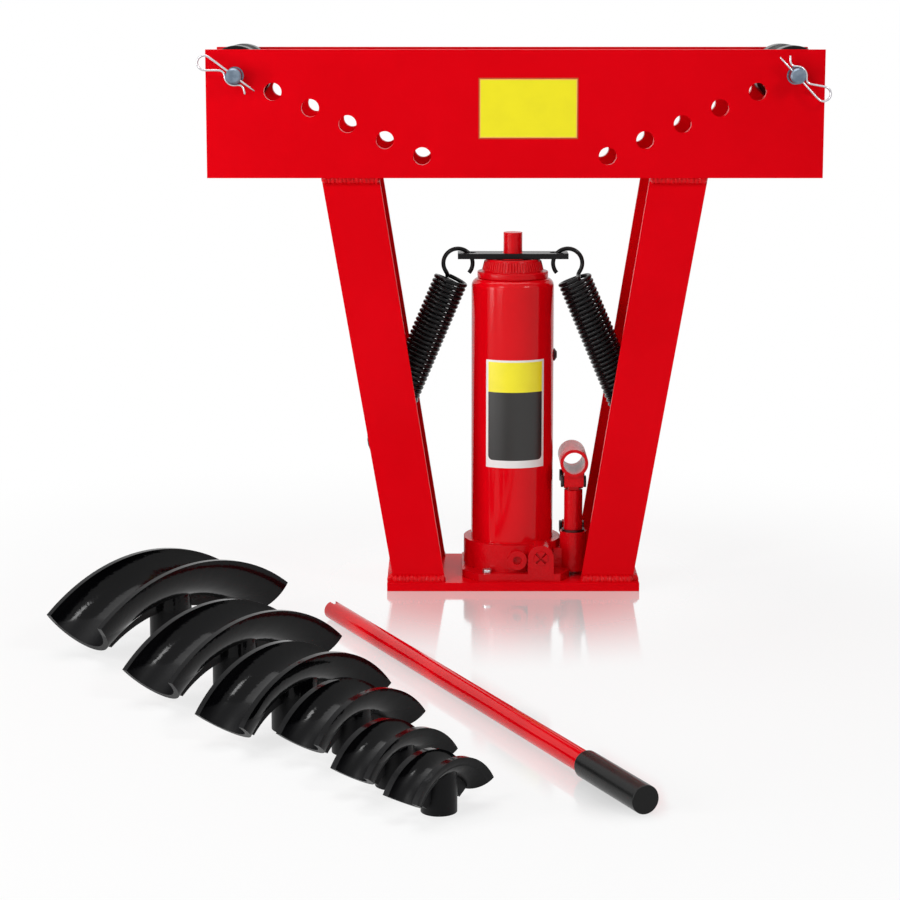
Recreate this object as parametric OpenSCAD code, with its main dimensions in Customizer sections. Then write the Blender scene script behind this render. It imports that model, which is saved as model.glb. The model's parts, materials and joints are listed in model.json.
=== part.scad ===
// Hydraulic pipe bender: a welded frame with a bottle jack, two rollers, return springs,
// a pump handle and a set of bending dies. Millimetres, +Z up, X along the plates,
// origin at the centre of the base plate's underside, which stands on the floor.

/* [Base plate] */
// Length of the base plate
base_len = 233.5; // [230:0.5:260]
// Depth of the base plate
base_depth = 118; // [114:1:140]
// Thickness of the base plate
base_t = 8; // [6:0.5:12]

/* [Frame] */
// Length of the front and back plates
plate_len = 555; // [545:0.5:640]
// Height of the front and back plates
plate_h = 115; // [110:0.5:150]
// Thickness of the front and back plates
plate_t = 8; // [6:0.5:12]
// Height of the plates' lower edge above the floor
plate_z = 382.4; // [376:0.1:420]
// Clear gap between the plates, which is also the depth of the legs
plate_gap = 100; // [94:1:108]
// How far the legs reach up between the plates
leg_lap = 6; // [2:0.5:7]
// Horizontal width of a leg at its foot
leg_w = 48; // [44:0.5:50]
// Horizontal width of a leg at its top
leg_top_w = 52.5; // [48:0.5:56]
// Wall of the leg channels
leg_wall = 4; // [3:0.5:5]
// Lean of the legs from vertical, in degrees
leg_lean = 9.7; // [9:0.1:10.5]
// Distance between the legs' outer edges on the base plate
leg_spread = 222; // [218:1:222]
// Leg length of the weld fillets
weld_leg = 5; // [3:0.5:6]

/* [Pin holes] */
// Number of pin holes on each side
hole_count = 6; // [5:1:6]
// Diameter of the pin holes
hole_d = 16; // [14:0.1:18]
// Distance of the outermost holes from the plates' ends
hole_end_in = 26.4; // [22:0.1:32]
// Height of the innermost hole above the plates' lower edge
hole_start_z = 19.8; // [16:0.1:24]
// Step between holes along the plates
hole_step_x = 33.5; // [33:0.1:36]
// Rise between holes
hole_step_z = 14.4; // [12:0.1:16]

/* [Rollers, pins and clips] */
// Diameter of the rollers
roller_d = 53; // [50:0.5:58]
// Depth of the rollers' groove
roller_groove = 6; // [3:0.5:9]
// Radius of the rollers' groove
roller_groove_r = 52; // [45:1:70]
// How far a pin stands out of the front plate
pin_out = 18; // [16:0.5:24]
// Diameter of a pin in front of the plates
pin_nose_d = 14; // [12:0.5:15]
// Diameter of a pin's head
pin_head_d = 24; // [20:0.5:28]
// Thickness of a pin's head
pin_head_t = 5; // [3:0.5:8]
// Wire of the hairpin clips
clip_wire = 2.2; // [2:0.1:3]
// Radius of the clips' eye
clip_eye_r = 6.6; // [5.5:0.1:7.5]

/* [Jack] */
// Outside diameter of the reservoir tube
tank_d = 77; // [76:0.5:80]
// Wall of the reservoir tube
tank_wall = 3; // [2:0.5:4]
// Height of the reservoir tube's shoulder above the floor
tank_top_z = 278; // [270:1:280]
// Diameter of the ram
ram_d = 30; // [26:0.5:32]
// Diameter of the stub on the ram
stub_d = 17.5; // [16:0.1:19]
// Length of the stub above the cross bar
stub_len = 19; // [16:0.5:24]
// Bore of the pressure cylinder
cylinder_bore = 36; // [34:0.5:38]
// Outside diameter of the pressure cylinder
cylinder_d = 46; // [44:0.5:50]
// Height of the jack base's collar above the floor
collar_z = 40; // [36:0.5:42]
// Distance of the pump from the jack's middle, to the right
pump_x = 57; // [56:0.5:58]
// Distance of the pump in front of the jack's middle
pump_y = 20; // [18:0.5:22]
// Diameter of the pump plunger
plunger_d = 17.2; // [15:0.1:17.5]

/* [Return springs] */
// Wire of the springs
spring_wire = 3.6; // [2.8:0.1:3.7]
// Outside diameter of the springs
spring_d = 32.2; // [29:0.2:33]
// Number of turns
spring_turns = 32; // [26:1:32]
// Length of the cross bar on the ram
bar_len = 102.5; // [100:0.5:108]
// Width of the cross bar
bar_w = 25; // [22:0.5:32]
// Thickness of the cross bar
bar_t = 5; // [4:0.5:6]

/* [Handle] */
// Outside diameter of the handle tube
handle_d = 16.5; // [15:0.1:17]
// Length of the handle with its grip
handle_len = 561; // [500:1:600]
// Length of the grip
grip_len = 85; // [70:1:110]

/* [Dies] */
// Wall of the dies' groove
die_wall = 5; // [4:0.5:7]
// Depth of the socket in a die's boss
die_socket_len = 19.5; // [17:0.5:20]
// Turn of the dies on the floor, in degrees
die_turn = 48; // [40:1:65]

/* [Hidden] */
$fn = 48;
over = 1;            // overrun of every cut
fit = 0.05;          // clearance of pieces that stay put
run_fit = 0.08;      // radial clearance of what turns or slides
ease = 0.3;          // gap between pieces that pass each other

RED = [0.86, 0.02, 0.08];
BLACK = [0.06, 0.06, 0.06];
ZINC = [0.72, 0.74, 0.77];
STEEL = [0.55, 0.56, 0.58];
RUBBER = [0.1, 0.1, 0.1];

// Frame
plate_in_y = plate_gap / 2;
plate_out_y = plate_in_y + plate_t;
leg_foot_x = leg_spread / 2;
leg_top_z = plate_z + leg_lap;
leg_web_w = leg_wall / cos(leg_lean);
function leg_outer_x(z) = leg_foot_x + (z - base_t) * tan(leg_lean);
function leg_inner_x(z) = leg_outer_x(z) - leg_w
    - (leg_top_w - leg_w) * (z - base_t) / (leg_top_z - base_t);
pin_x = plate_len / 2 - hole_end_in;
function hole_x(i) = pin_x - (hole_count - 1 - i) * hole_step_x;
function hole_z(i) = plate_z + hole_start_z + i * hole_step_z;
pin_z = hole_z(hole_count - 1);

// Rollers, pins and clips
pin_r = hole_d / 2 - run_fit;
nose_r = pin_nose_d / 2;
pin_tip = 1.5;
roller_play = 1;
roller_len = plate_gap - 2 * roller_play;
clip_y = plate_out_y + pin_out / 2;
clip_wire_r = clip_wire / 2;
clip_back = 28;          // straight leg from the pin to the eye
clip_ahead = 24;         // straight leg from the pin to its end
clip_pinch_r = 5;
clip_nip = 0.9;
clip_pinch = clip_wire + clip_nip;
clip_tip_len = 5;
clip_tip_angle = 50;
clip_step = 20;          // degrees of bend between rings
clip_sides = 8;
clip_round_r = nose_r + clip_wire_r + ease;
left_clip_turn = -37;
right_clip_turn = 133;

// Jack, from the floor up
jack_z = base_t;
flange_t = 7;
flange_left = 47;
flange_right = 53;
flange_in = 5;           // from the base plate's edge
flange_half_y = base_depth / 2 - flange_in;
flange_cut_x = 15;
flange_cut_right = 9;
flange_cut_y = 20;
collar_d = 91;
tank_r = tank_d / 2;
tank_z = 28;
tank_lip_r = 33;
tank_shoulder_h = 8;
tank_lip_z = tank_top_z + tank_shoulder_h;
cylinder_z = 20;
nut_flange_t = 6;
nut_r = 28.2;
nut_top_r = 25.2;
nut_grip_t = 11.4;
nut_top_z = tank_lip_z + nut_flange_t + nut_grip_t;
nut_spigot = 12;
cylinder_top_z = tank_lip_z - nut_spigot;
wiper_t = 4;
wiper_w = 3;
ram_show = 0.6;
ram_shoulder_z = nut_top_z + ram_show;
bar_seat_step = 1.25;
bar_seat_d = stub_d + 2 * bar_seat_step;
bar_top_z = ram_shoulder_z + bar_t;
piston_z = 32;
piston_len = 20;
piston_top_z = piston_z + piston_len;
piston_spigot_r = 9;
seal_h = 4;
seal_depth = 3;
stub_pin_d = 3;
stub_pin_len = 5;
stub_pin_share = 0.6;
stub_pin_z = bar_top_z + stub_len * stub_pin_share;
plug_z = 213;
plug_r = 4.6;
plug_head_r = 5.9;
plug_head_t = 3;
plug_rim_share = 0.3;
plug_crown_share = 0.5;

// Pump, its link and the handle socket
pump_boss_r = 12.5;
pump_boss_z = 12;
pump_top_z = 49;
sleeve_wall = 2;
sleeve_r = plunger_d / 2 + sleeve_wall;
sleeve_z = 20;
sleeve_rim = 2;
packing_w = 1.1;
packing_h = 4;
plunger_z = 34;
plunger_neck_z = 88.5;
pivot_z = 96;
pivot_span = 30;         // plunger pin to fulcrum
pivot_r = 4;
eye_r = 6;
eye_w = 10;
strap_t = 3.6;
strap_r = 6.5;
strap_in = eye_w / 2 + ease;
strap_out = strap_in + strap_t;
slot_reach = 3;
slot_ease = 0.6;
fulcrum_y = pivot_span - pump_y;
link_foot_z = 46.5;
pivot_head_r = 5.5;
pivot_head_t = 2.6;
handle_play = 3.7;
socket_wall = 2.9;
apron_t = 2.2;           // front of the bracket below the socket
apron_drop = 3;          // how far it reaches below the pivot
apron_gap = 0.8;
socket_bore = handle_d + handle_play;
socket_d = socket_bore + 2 * socket_wall;
socket_z = pivot_z + socket_d / 2 + strap_r + ease;
socket_front = 35;
socket_back = 16;
ball_r = 3.5;
ball_room = 0.1;
outlet_ball_z = 15.5;

// Release valve
valve_x = 25.7;
valve_z = 30;
valve_r = 6.4;
valve_boss_r = 12;
valve_front = flange_half_y;
valve_end_y = 37;
valve_len = valve_front - valve_end_y;
valve_out = 1;
valve_slot_w = 2;
valve_slot_depth = 3;
side_boss_x = 4;         // second boss of the casting, left of the valve
side_boss_z = 27;
side_boss_r = 9;
side_boss_front = 50;
side_boss_hole_r = 4;
side_boss_hole_depth = 4;

// Screws that hold the jack down
screw_x = 24;
screw_in = 7.6;          // from the flange's edge
screw_y = flange_half_y - screw_in;
screw_r = 3;
screw_head_r = 4.4;
screw_head_t = 3.2;
screw_room = 0.4;

// Spring anchors: a bolt through each leg's web, with its nut outside
anchor_z = 130;
anchor_r = 4;
anchor_grip = 14;        // bare shank between web and head
anchor_head_t = 5.3;
anchor_flats = 13;
anchor_nut_t = 3.4;
anchor_out = 0.6;
hex_r = anchor_flats / 2 / cos(30);

// Springs: an axis from the anchor bolt to the middle of the upper hook
coil_r = (spring_d - spring_wire) / 2;
wire_r = spring_wire / 2;
hook_r = 13.6;
hook_in_x = 0.2;         // hook middle inside the bar's end
hook_drop = 5;           // hook middle below the bar's underside
hook_rise = 15.5;        // hook middle beyond the coil's end
hook_end_angle = -18;
hook_start_angle = 235;
loop_rise = 16;
loop_start_angle = 205;
loop_end_angle = -24;
loop_slack = 1.2;        // the bolt passes the lower loop aslant
end_share = 0.75;        // part of a turn that brings the coil's end to its hook
lead = 9;                // length that eases the coil's end into its hook
bar_hole_d = 11;
spring_sides = 6;
curl_rings = 8;
hook_rings = 14;
lead_rings = 5;
loop_off = 1;
shank_mid = leg_wall + anchor_grip / 2 - loop_off;
anchor_x = leg_outer_x(anchor_z) - shank_mid * cos(leg_lean);
anchor_mid_z = anchor_z + shank_mid * sin(leg_lean);
hook_x = bar_len / 2 - hook_in_x;
hook_z = ram_shoulder_z - hook_drop;
axis_run = [hook_x - anchor_x, 0, hook_z - anchor_mid_z];
axis_len = norm(axis_run);
axis_up = axis_run / axis_len;
axis_side = [axis_up.z, 0, -axis_up.x];
axis_back = [0, 1, 0];
loop_seat = anchor_r + wire_r + loop_slack;
coil_foot = loop_rise + coil_r - loop_seat;
coil_len = axis_len - hook_rise - coil_foot;
bar_hole_x = hook_x - sqrt(pow(hook_r, 2) - pow(hook_drop + bar_t / 2, 2));

// Stickers
sticker_t = 0.3;
plate_sticker_x = [-33, 56.7];
plate_sticker_z = [417.6, 472.3];
jack_sticker_z = [112, 213];
jack_sticker_from = -40;
jack_sticker_to = 47;

// Handle on the floor, from its notched end to its grip
handle_wall = 2;
handle_end = [-162, -158];
handle_turn = -65.2;
grip_wall = 2;
grip_cap = 4;
grip_r = handle_d / 2 + grip_wall;
notch_w = 5;
notch_depth = 9;
handle_tilt = asin(grip_wall / (handle_len - grip_len));

// Dies: outside diameter of the pipe, bend radius as a share of it, half angle, boss and place
die_pipe_d = [60.3, 48.3, 42.2, 33.4, 26.7, 21.3];
die_bend_shares = [2.87, 2.78, 2.33, 2.1, 2.06, 2.1];
die_half_angle = [37.7, 43.4, 52.3, 53, 56, 60];
die_boss_h = [36, 35, 35, 28, 25, 24];
die_boss_r = [18, 18, 18, 15, 14, 12.5];
die_place = [[-298, -220], [-230, -363], [-175, -473], [-130, -529], [-97, -604], [-66, -658]];
die_rim = 4;
die_rim_h = 6;
die_rib_t = 8;
die_rib_h = 9;
die_rib_short = 5;       // degrees that the rib ends before the tips
die_play = 0.25;
die_socket_r = stub_d / 2 + die_play;

// Shared shapes

module ring(outer, inner, height) {
    difference() {
        cylinder(h = height, r = outer);
        translate([0, 0, -over]) cylinder(h = height + 2 * over, r = inner);
    }
}

// A cylinder along +X that starts at x = 0
module bar_x(length, radius) {
    rotate([0, 90, 0]) cylinder(h = length, r = radius);
}

// A cylinder along +Y that starts at y = 0
module bar_y(length, radius) {
    rotate([-90, 0, 0]) cylinder(h = length, r = radius);
}

// An outline in X and Z, extruded evenly to both sides of Y = 0
module along_y(depth) {
    rotate([90, 0, 0]) linear_extrude(height = depth, center = true) children();
}

function unit(v) = v / norm(v);
function line_way(points, i) =
    unit(points[min(i + 1, len(points) - 1)] - points[max(i - 1, 0)]);
function across(v, way) = unit(v - (v * way) * way);
// A side direction that is carried along the line, so that the tube doesn't twist
function carried(points) = [for (i = 0, side = unit(cross(line_way(points, 0), [1, 2, 3]));
    i < len(points);
    i = i + 1, side = i < len(points) ? across(side, line_way(points, i)) : side)
    side];

// A closed round tube along a line of points
module tube_along(points, radius, ring_sides) {
    sides = carried(points);
    last = len(points) - 1;
    skin = [for (i = [0 : last], k = [0 : ring_sides - 1])
        let (way = line_way(points, i), a = 360 * k / ring_sides)
        points[i] + radius * (cos(a) * sides[i] + sin(a) * cross(way, sides[i]))];
    walls = [for (i = [0 : last - 1], k = [0 : ring_sides - 1])
        let (n = (k + 1) % ring_sides, a = i * ring_sides, b = a + ring_sides)
        each [[a + k, b + k, b + n], [a + k, b + n, a + n]]];
    caps = [for (k = [1 : ring_sides - 2]) each [
        [0, k, k + 1], [last * ring_sides, last * ring_sides + k + 1, last * ring_sides + k]]];
    polyhedron(points = skin, faces = concat(walls, caps), convexity = 10);
}

// Frame

module base_plate() {
    color(RED) difference() {
        translate([-base_len / 2, -base_depth / 2, 0]) cube([base_len, base_depth, base_t]);
        for (side = [-1, 1]) translate([-screw_x, side * screw_y, -over])
            cylinder(h = base_t + 2 * over, r = screw_r + fit);
    }
}

// Frame of an anchor bolt in the right leg: z = 0 on the web's outer face, +z to the inside
module anchor_frame() {
    translate([leg_outer_x(anchor_z), 0, anchor_z]) rotate([0, leg_lean - 90, 0]) children();
}

module leg() {
    high = leg_top_z + over;
    low = base_t - over;
    color(RED) difference() {
        along_y(plate_gap) polygon([
            [leg_outer_x(base_t), base_t], [leg_outer_x(leg_top_z), leg_top_z],
            [leg_inner_x(leg_top_z), leg_top_z], [leg_inner_x(base_t), base_t]]);
        along_y(plate_gap - 2 * leg_wall) polygon([
            [leg_outer_x(low) - leg_web_w, low], [leg_outer_x(high) - leg_web_w, high],
            [leg_inner_x(high) - over, high], [leg_inner_x(low) - over, low]]);
        anchor_frame() translate([0, 0, -over]) cylinder(h = leg_wall + 2 * over, r = anchor_r + fit);
    }
}

module right_leg() {
    leg();
}

module left_leg() {
    mirror([1, 0, 0]) leg();
}

module drilled_plate() {
    color(RED) difference() {
        translate([-plate_len / 2, 0, plate_z]) cube([plate_len, plate_t, plate_h]);
        for (side = [-1, 1], i = [0 : hole_count - 1])
            translate([side * hole_x(i), -over, hole_z(i)]) bar_y(plate_t + 2 * over, hole_d / 2);
    }
}

module front_plate() {
    translate([0, -plate_out_y, 0]) drilled_plate();
}

module back_plate() {
    translate([0, plate_in_y, 0]) drilled_plate();
}

// A fillet along +X with its square corner on the axis, filling -Y and +Z
module weld_run(length) {
    rotate([90, 0, 90]) linear_extrude(height = length)
        polygon([[0, 0], [-weld_leg, 0], [0, weld_leg]]);
}

module leg_welds() {
    top_in = leg_inner_x(plate_z);
    top_len = leg_outer_x(plate_z - weld_leg) - top_in;
    for (side = [0, 1]) mirror([0, side, 0]) {
        translate([leg_inner_x(base_t), -plate_in_y, base_t]) weld_run(leg_w);
        translate([top_in, -plate_in_y, plate_z]) mirror([0, 0, 1]) weld_run(top_len);
    }
    along_y(plate_gap) polygon([
        [leg_outer_x(base_t), base_t], [leg_outer_x(base_t) + weld_leg, base_t],
        [leg_outer_x(base_t + weld_leg), base_t + weld_leg]]);
}

module weld_beads() {
    color(RED) {
        leg_welds();
        mirror([1, 0, 0]) leg_welds();
    }
}

// Rollers, pins and clips

module roller() {
    color(BLACK) rotate([90, 0, 0]) rotate_extrude() difference() {
        translate([hole_d / 2, -roller_len / 2]) square([(roller_d - hole_d) / 2, roller_len]);
        translate([roller_d / 2 + roller_groove_r - roller_groove, 0]) circle(r = roller_groove_r, $fn = 96);
    }
}

module left_roller() {
    translate([-pin_x, 0, pin_z]) roller();
}

module right_roller() {
    translate([pin_x, 0, pin_z]) roller();
}

// Pin with its head behind the back plate and a cross hole for its clip
module roller_pin(clip_turn) {
    front = plate_out_y + pin_out;
    back = plate_out_y + ease;
    color(ZINC) difference() {
        union() {
            translate([0, -plate_out_y, 0]) bar_y(plate_out_y + back + pin_head_t, pin_r);
            translate([0, -front + pin_tip, 0]) bar_y(front - pin_tip, nose_r);
            translate([0, -front, 0]) rotate([-90, 0, 0])
                cylinder(h = pin_tip, r1 = nose_r - pin_tip, r2 = nose_r);
            translate([0, back, 0]) bar_y(pin_head_t, pin_head_d / 2);
        }
        translate([0, -clip_y, 0]) rotate([0, -clip_turn, 0]) translate([-nose_r - over, 0, 0])
            bar_x(2 * (nose_r + over), clip_wire_r + run_fit);
    }
}

module left_roller_pin() {
    translate([-pin_x, 0, pin_z]) roller_pin(left_clip_turn);
}

module right_roller_pin() {
    translate([pin_x, 0, pin_z]) roller_pin(right_clip_turn);
}

// Points of an arc in the plane z = 0, both ends included
function arc_points(centre, radius, from, to) =
    let (steps = ceil(abs(to - from) / clip_step))
    [for (i = [0 : steps]) let (a = from + (to - from) * i / steps)
        [centre.x + radius * cos(a), centre.y + radius * sin(a), 0]];

// Middle line of a hairpin clip: its straight leg lies on the X axis and passes the pin at the origin
function clip_line() =
    let (eye = [-clip_back, -clip_eye_r],
         pinch_y = clip_pinch + clip_pinch_r,
         pinch_x = sqrt(pow(clip_round_r + clip_pinch_r, 2) - pow(pinch_y, 2)),
         first = [-pinch_x, -pinch_y],
         second = [pinch_x, -pinch_y],
         gap = first - eye,
         slope = atan2(gap.y, gap.x) + asin((clip_eye_r + clip_pinch_r) / norm(gap)),
         meet = atan2(pinch_y, pinch_x),
         way = clip_tip_angle - 90,
         bend_end = arc_points(second, clip_pinch_r, 180 - meet, clip_tip_angle),
         tip = bend_end[len(bend_end) - 1] + clip_tip_len * [cos(way), sin(way), 0])
    concat(
        [[clip_ahead, 0, 0]],
        arc_points(eye, clip_eye_r, 90, slope + 270),
        arc_points(first, clip_pinch_r, slope + 90, meet + clip_step),
        arc_points([0, 0], clip_round_r, 180 + meet, 360 - meet - clip_step),
        bend_end,
        [tip]);

module clip() {
    color(ZINC) tube_along(clip_line(), clip_wire_r, clip_sides);
}

module left_clip() {
    translate([-pin_x, -clip_y, pin_z]) rotate([90, 0, 0]) rotate([0, 0, left_clip_turn]) clip();
}

module right_clip() {
    translate([pin_x, -clip_y, pin_z]) rotate([90, 0, 0]) rotate([0, 0, right_clip_turn]) clip();
}

// Springs and what holds them

module anchor_bolt() {
    length = anchor_out + anchor_nut_t + leg_wall + anchor_grip;
    color(BLACK) anchor_frame() {
        translate([0, 0, -anchor_nut_t - anchor_out]) cylinder(h = length, r = anchor_r);
        translate([0, 0, leg_wall + anchor_grip]) cylinder(h = anchor_head_t, r = hex_r, $fn = 6);
    }
}

module right_anchor_bolt() {
    anchor_bolt();
}

module left_anchor_bolt() {
    mirror([1, 0, 0]) anchor_bolt();
}

module anchor_nut() {
    anchor_frame() translate([0, 0, -anchor_nut_t]) difference() {
        cylinder(h = anchor_nut_t, r = hex_r, $fn = 6);
        translate([0, 0, -over]) cylinder(h = anchor_nut_t + 2 * over, r = anchor_r + fit);
    }
}

module anchor_nuts() {
    color(BLACK) {
        anchor_nut();
        mirror([1, 0, 0]) anchor_nut();
    }
}

// Points of a hook that leaves a coil's end, in a frame whose third axis leaves the coil
function lead_point(t, radius, rise, start) =
    let (a = [0, coil_r, 0],
         b = a + [-lead, 0, 0],
         d = [radius * cos(start), 0, rise + radius * sin(start)],
         c = d - lead * [sin(start), 0, -cos(start)],
         s = 1 - t)
    a * pow(s, 3) + 3 * b * pow(s, 2) * t + 3 * c * s * pow(t, 2) + d * pow(t, 3);
function hook_points(radius, rise, start, end) = concat(
    [for (i = [1 : lead_rings - 1]) lead_point(i / lead_rings, radius, rise, start)],
    [for (i = [0 : hook_rings]) let (a = start + (end - start) * i / hook_rings)
        [radius * cos(a), 0, rise + radius * sin(a)]]);
function placed(points, centre, first, second, third) =
    [for (p = points) centre + p.x * first + p.y * second + p.z * third];
function reversed(points) = [for (i = [len(points) - 1 : -1 : 0]) points[i]];

// Middle line of the right spring, from its lower loop to its upper hook
function spring_line() =
    let (anchor = [anchor_x, 0, anchor_mid_z],
         foot = anchor + coil_foot * axis_up,
         head = foot + coil_len * axis_up,
         rings = (spring_turns + end_share) * curl_rings,
         low = placed(hook_points(coil_r, loop_rise, loop_start_angle, loop_end_angle),
             foot, axis_back, axis_side, -axis_up),
         coil = [for (i = [0 : rings]) let (a = 360 * i / curl_rings)
             foot + axis_up * coil_len * i / rings + coil_r * (axis_side * cos(a) + axis_back * sin(a))],
         high = placed(hook_points(hook_r, hook_rise, hook_start_angle, hook_end_angle),
             head, -axis_side, -axis_back, axis_up))
    concat(reversed(low), coil, high);

// Least gap between stretches of one line that lie more than half a turn apart
function least_gap(points) = min([for (i = [0 : len(points) - 1])
    min(concat(coil_r, [for (j = [i + curl_rings / 2 : 1 : len(points) - 1]) norm(points[i] - points[j])]))])
    - spring_wire;

module spring() {
    line = spring_line();
    echo(least_gap = least_gap(line), pitch = coil_len / (spring_turns + end_share));
    color(BLACK) tube_along(line, wire_r, spring_sides);
}

module right_spring() {
    spring();
}

module left_spring() {
    rotate([0, 0, 180]) spring();
}

module spring_bar() {
    color(BLACK) difference() {
        translate([-bar_len / 2, -bar_w / 2, ram_shoulder_z]) cube([bar_len, bar_w, bar_t]);
        translate([0, 0, ram_shoulder_z - over]) cylinder(h = bar_t + 2 * over, r = bar_seat_d / 2 + fit);
        for (side = [-1, 1]) translate([side * bar_hole_x, 0, ram_shoulder_z - over])
            cylinder(h = bar_t + 2 * over, r = bar_hole_d / 2);
    }
}

// Jack

module flange_outline() {
    polygon([
        [-flange_left, -flange_half_y + flange_cut_y], [-flange_left + flange_cut_x, -flange_half_y],
        [flange_right - flange_cut_right, -flange_half_y], [flange_right, -flange_half_y + flange_cut_y],
        [flange_right, flange_half_y - flange_cut_y], [flange_right - flange_cut_x, flange_half_y],
        [-flange_left + flange_cut_x, flange_half_y], [-flange_left, flange_half_y - flange_cut_y]]);
}

module jack_base() {
    web_h = collar_z - pump_boss_z - flange_t;
    lug_x = pump_x - strap_out;
    color(RED) difference() {
        union() {
            translate([0, 0, jack_z]) linear_extrude(height = flange_t) flange_outline();
            translate([0, 0, jack_z]) cylinder(h = collar_z - jack_z, r = collar_d / 2, $fn = 96);
            translate([pump_x, -pump_y, pump_boss_z]) cylinder(h = pump_top_z - pump_boss_z, r = pump_boss_r);
            translate([tank_r, -pump_y - pump_boss_r / 2, pump_boss_z])
                cube([pump_x - tank_r, fulcrum_y + pump_y + pump_boss_r / 2 + strap_r, web_h]);
            for (x = [lug_x, pump_x + strap_in]) {
                translate([x, fulcrum_y, link_foot_z]) bar_x(strap_t, strap_r);
                translate([x, fulcrum_y - strap_r, pump_boss_z])
                    cube([strap_t, 2 * strap_r, link_foot_z - pump_boss_z]);
            }
            translate([pump_x - strap_out, -pump_y, pump_boss_z])
                cube([2 * strap_out, fulcrum_y + pump_y + strap_r, web_h / 2]);
            translate([valve_x, -valve_front, valve_z]) bar_y(valve_front - tank_r / 2, valve_boss_r);
            translate([valve_x - valve_boss_r, -valve_front, jack_z])
                cube([2 * valve_boss_r, valve_front - tank_r / 2, valve_z - jack_z]);
            translate([side_boss_x, -side_boss_front, side_boss_z])
                bar_y(side_boss_front - tank_r / 2, side_boss_r);
        }
        translate([side_boss_x, -side_boss_front - over, side_boss_z])
            bar_y(side_boss_hole_depth + over, side_boss_hole_r);
        translate([0, 0, tank_z]) cylinder(h = collar_z, r = tank_r + fit, $fn = 96);
        translate([0, 0, cylinder_z]) cylinder(h = collar_z, r = cylinder_d / 2 + fit);
        translate([0, 0, outlet_ball_z - ball_r - ball_room]) cylinder(h = collar_z, r = ball_r + ball_room);
        translate([pump_x, -pump_y, sleeve_z]) cylinder(h = pump_top_z, r = sleeve_r + fit);
        translate([pump_x, -pump_y, sleeve_z - ball_r - ball_room])
            cylinder(h = pump_top_z, r = ball_r + ball_room);
        translate([lug_x - over, fulcrum_y, link_foot_z]) bar_x(2 * (strap_out + over), pivot_r + fit);
        translate([pump_x - strap_in, fulcrum_y - strap_r - over, link_foot_z - strap_r - over])
            cube([2 * strap_in, 2 * (strap_r + over), collar_z]);
        translate([valve_x, -valve_front - over, valve_z]) bar_y(valve_len + over, valve_r + run_fit);
        for (side = [-1, 1]) translate([-screw_x, side * screw_y, jack_z - over]) {
            cylinder(h = flange_t + 2 * over, r = screw_r + fit);
            translate([0, 0, flange_t + over]) cylinder(h = collar_z, r = screw_head_r + screw_room);
        }
    }
}

module jack_screws() {
    color(ZINC) for (side = [-1, 1]) translate([-screw_x, side * screw_y, 0]) {
        cylinder(h = jack_z + flange_t, r = screw_r);
        translate([0, 0, jack_z + flange_t]) cylinder(h = screw_head_t, r = screw_head_r);
    }
}

module reservoir_tube() {
    inner = tank_r - tank_wall;
    lip = tank_lip_r - tank_wall;
    shoulder_x = tank_r - tank_shoulder_h;
    color(RED) difference() {
        rotate_extrude($fn = 96) difference() {
            union() {
                translate([0, tank_z]) square([tank_r, tank_top_z - tank_z]);
                translate([0, tank_z]) square([shoulder_x, tank_lip_z - tank_z]);
                translate([shoulder_x, tank_top_z]) circle(r = tank_shoulder_h, $fn = 64);
            }
            translate([-over, tank_z - over]) square([inner + over, tank_top_z - tank_z + over]);
            square([lip, tank_lip_z + over]);
        }
        translate([inner - over, 0, plug_z]) bar_x(tank_wall + 2 * over, plug_r + fit);
    }
}

module pressure_cylinder() {
    color(STEEL) translate([0, 0, cylinder_z])
        ring(cylinder_d / 2, cylinder_bore / 2, cylinder_top_z - cylinder_z);
}

module top_nut() {
    ram_room = ram_d / 2 + run_fit;
    color(RED) difference() {
        union() {
            translate([0, 0, cylinder_top_z]) cylinder(h = nut_spigot, r = tank_lip_r - tank_wall - fit);
            translate([0, 0, tank_lip_z]) cylinder(h = nut_flange_t, r = tank_lip_r);
            translate([0, 0, tank_lip_z + nut_flange_t]) cylinder(h = nut_grip_t, r1 = nut_r, r2 = nut_top_r);
        }
        translate([0, 0, cylinder_top_z - over]) cylinder(h = nut_top_z, r = ram_room);
        translate([0, 0, nut_top_z - wiper_t]) cylinder(h = wiper_t + over, r = ram_room + wiper_w + fit);
    }
}

module ram_wiper() {
    color(RUBBER) translate([0, 0, nut_top_z - wiper_t])
        ring(ram_d / 2 + run_fit + wiper_w, ram_d / 2 + run_fit, wiper_t);
}

module ram() {
    color(RED) difference() {
        union() {
            translate([0, 0, piston_z]) cylinder(h = piston_len, r = piston_spigot_r);
            translate([0, 0, piston_top_z]) cylinder(h = ram_shoulder_z - piston_top_z, r = ram_d / 2);
            translate([0, 0, ram_shoulder_z]) cylinder(h = bar_t, r = bar_seat_d / 2);
            translate([0, 0, bar_top_z]) cylinder(h = stub_len, r = stub_d / 2);
        }
        translate([-stub_d, 0, stub_pin_z]) bar_x(stub_d / 2 + stub_pin_len, stub_pin_d / 2 + fit);
    }
}

module stub_pin() {
    color(BLACK) translate([-stub_d / 2 + ease, 0, stub_pin_z])
        bar_x(stub_pin_len - 2 * ease, stub_pin_d / 2);
}

module piston() {
    outer = cylinder_bore / 2 - run_fit;
    color(STEEL) translate([0, 0, piston_z]) difference() {
        ring(outer, piston_spigot_r + fit, piston_len);
        translate([0, 0, (piston_len - seal_h) / 2]) ring(outer + over, outer - seal_depth, seal_h);
    }
}

module piston_seal() {
    outer = cylinder_bore / 2 - run_fit;
    color(RUBBER) translate([0, 0, piston_z + (piston_len - seal_h) / 2 + fit])
        ring(outer, outer - seal_depth + fit, seal_h - 2 * fit);
}

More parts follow.
